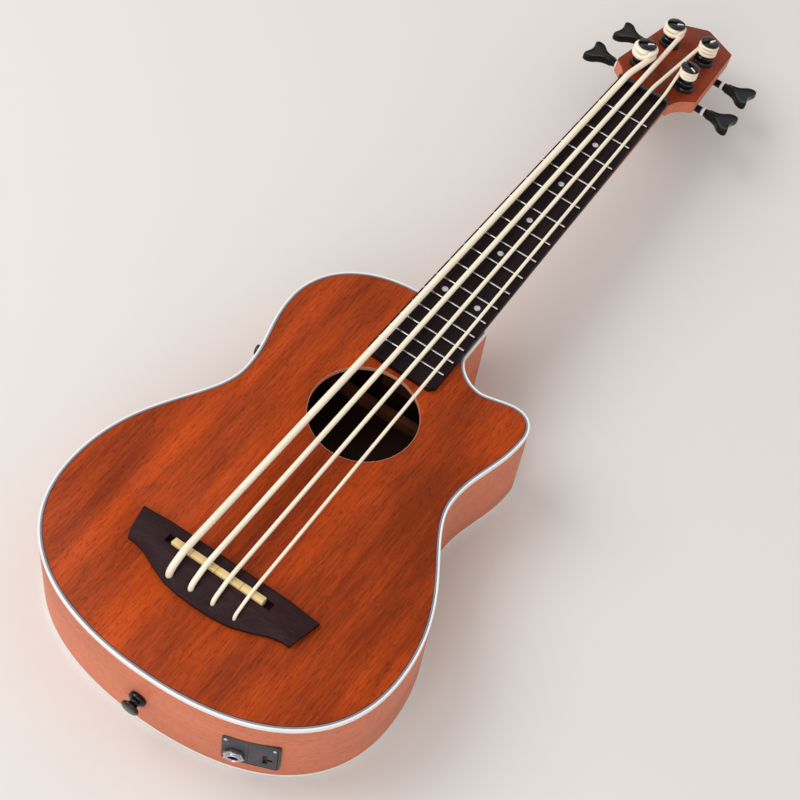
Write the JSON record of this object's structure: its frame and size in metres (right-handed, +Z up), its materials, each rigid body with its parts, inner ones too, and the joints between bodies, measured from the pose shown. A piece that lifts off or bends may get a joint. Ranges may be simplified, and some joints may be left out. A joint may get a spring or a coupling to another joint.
{
  "type": "bass ukulele",
  "caption": "Acoustic-electric bass ukulele with a cutaway body, round sound hole, fretted neck, thick strings on geared tuners, and a tail jack with a battery tray.",
  "frame": {"origin": "on the flat back's underside, on the centre line below the zero of the scale length, where the saddle stands", "axes": "+X to the treble side with the cutaway, +Y from the tail to the headstock, +Z up from the flat back; the instrument lies on its back"},
  "size_m": [0.2584, 0.7476, 0.0866],
  "materials": {
    "wood_top": "satin",
    "wood_side": "satin",
    "wood_inner": "raw",
    "wood_veneer": "satin",
    "rosewood": "satin",
    "binding": "gloss",
    "nut_black": "gloss",
    "bone": "satin",
    "fret_metal": "polished",
    "string_rubber": "satin",
    "black_metal": "gloss black",
    "grey_plastic": "satin",
    "chrome": "polished",
    "knob_black": "satin",
    "battery_skin": "satin"
  },
  "bodies": {
    "instrument": {"top_plate": "wood_top", "back_plate": "wood_side", "body_side_bass": "wood_side", "body_side_treble": "wood_side", "top_binding": "binding", "back_binding": "binding", "neck_block": "wood_inner", "tail_block": "wood_inner", "back_brace": "wood_inner", "bridge_plate": "wood_inner", "neck": "wood_side", "headstock_veneer": "wood_veneer", "fretboard": "rosewood", "nut": "nut_black", "bridge": "rosewood", "saddle": "bone", "fret_01": "fret_metal", "fret_02": "fret_metal", "fret_03": "fret_metal", "fret_04": "fret_metal", "fret_05": "fret_metal", "fret_06": "fret_metal", "fret_07": "fret_metal", "fret_08": "fret_metal", "fret_09": "fret_metal", "fret_10": "fret_metal", "fret_11": "fret_metal", "fret_12": "fret_metal", "fret_13": "fret_metal", "fret_14": "fret_metal", "fret_15": "fret_metal", "fret_16": "fret_metal", "string_1_E": "string_rubber", "string_2_A": "string_rubber", "string_3_D": "string_rubber", "string_4_G": "string_rubber", "tuner_plate_E": "black_metal", "tuner_plate_A": "black_metal", "tuner_plate_D": "black_metal", "tuner_plate_G": "black_metal", "tuner_bushing_E": "black_metal", "tuner_bushing_A": "black_metal", "tuner_bushing_D": "black_metal", "tuner_bushing_G": "black_metal", "strap_button": "black_metal", "output_housing": "grey_plastic", "jack_socket": "chrome", "preamp_panel": "grey_plastic"},
    "key_E": {"tuner_key_E": "black_metal"},
    "post_E": {"tuner_post_E": "black_metal"},
    "key_A": {"tuner_key_A": "black_metal"},
    "post_A": {"tuner_post_A": "black_metal"},
    "key_D": {"tuner_key_D": "black_metal"},
    "post_D": {"tuner_post_D": "black_metal"},
    "key_G": {"tuner_key_G": "black_metal"},
    "post_G": {"tuner_post_G": "black_metal"},
    "volume_knob": {"volume_knob": "knob_black"},
    "tone_knob": {"tone_knob": "knob_black"},
    "battery_tray": {"battery_tray": "grey_plastic", "battery": "battery_skin"}
  },
  "joints": [
    {"name": "key_E_turn", "type": "hinge", "parent": "instrument", "child": "key_E", "pos_m": [-0.0195, 0.57266, 0.04698], "axis": [1, 0, 0], "continuous": true},
    {"name": "post_E_turn", "type": "hinge", "parent": "instrument", "child": "post_E", "pos_m": [-0.0195, 0.56634, 0.06566], "axis": [0, 0.2045, 0.9789], "continuous": true},
    {"name": "key_A_turn", "type": "hinge", "parent": "instrument", "child": "key_A", "pos_m": [-0.0155, 0.61769, 0.03757], "axis": [1, 0, 0], "continuous": true},
    {"name": "post_A_turn", "type": "hinge", "parent": "instrument", "child": "post_A", "pos_m": [-0.0155, 0.61137, 0.05625], "axis": [0, 0.2045, 0.9789], "continuous": true},
    {"name": "key_D_turn", "type": "hinge", "parent": "instrument", "child": "key_D", "pos_m": [0.0155, 0.61769, 0.03757], "axis": [1, 0, 0], "continuous": true},
    {"name": "post_D_turn", "type": "hinge", "parent": "instrument", "child": "post_D", "pos_m": [0.0155, 0.61137, 0.05625], "axis": [0, 0.2045, 0.9789], "continuous": true},
    {"name": "key_G_turn", "type": "hinge", "parent": "instrument", "child": "key_G", "pos_m": [0.0195, 0.57266, 0.04698], "axis": [1, 0, 0], "continuous": true},
    {"name": "post_G_turn", "type": "hinge", "parent": "instrument", "child": "post_G", "pos_m": [0.0195, 0.56634, 0.06566], "axis": [0, 0.2045, 0.9789], "continuous": true},
    {"name": "volume_knob_turn", "type": "hinge", "parent": "instrument", "child": "volume_knob", "pos_m": [-0.09088, 0.172, 0.04], "axis": [-0.9722, -0.2343, 0], "range_deg": [-150, 150]},
    {"name": "tone_knob_turn", "type": "hinge", "parent": "instrument", "child": "tone_knob", "pos_m": [-0.09088, 0.172, 0.024], "axis": [-0.9722, -0.2343, 0], "range_deg": [-150, 150]},
    {"name": "tray_slide", "type": "slide", "parent": "instrument", "child": "battery_tray", "axis": [0.3844, -0.9232, 0], "range_m": [0, 0.05]}
  ],
  "couplings": [
    {"joint": "post_E_turn", "follows": "key_E_turn", "ratio": 0.05},
    {"joint": "post_A_turn", "follows": "key_A_turn", "ratio": 0.05},
    {"joint": "post_D_turn", "follows": "key_D_turn", "ratio": 0.05},
    {"joint": "post_G_turn", "follows": "key_G_turn", "ratio": 0.05}
  ]
}
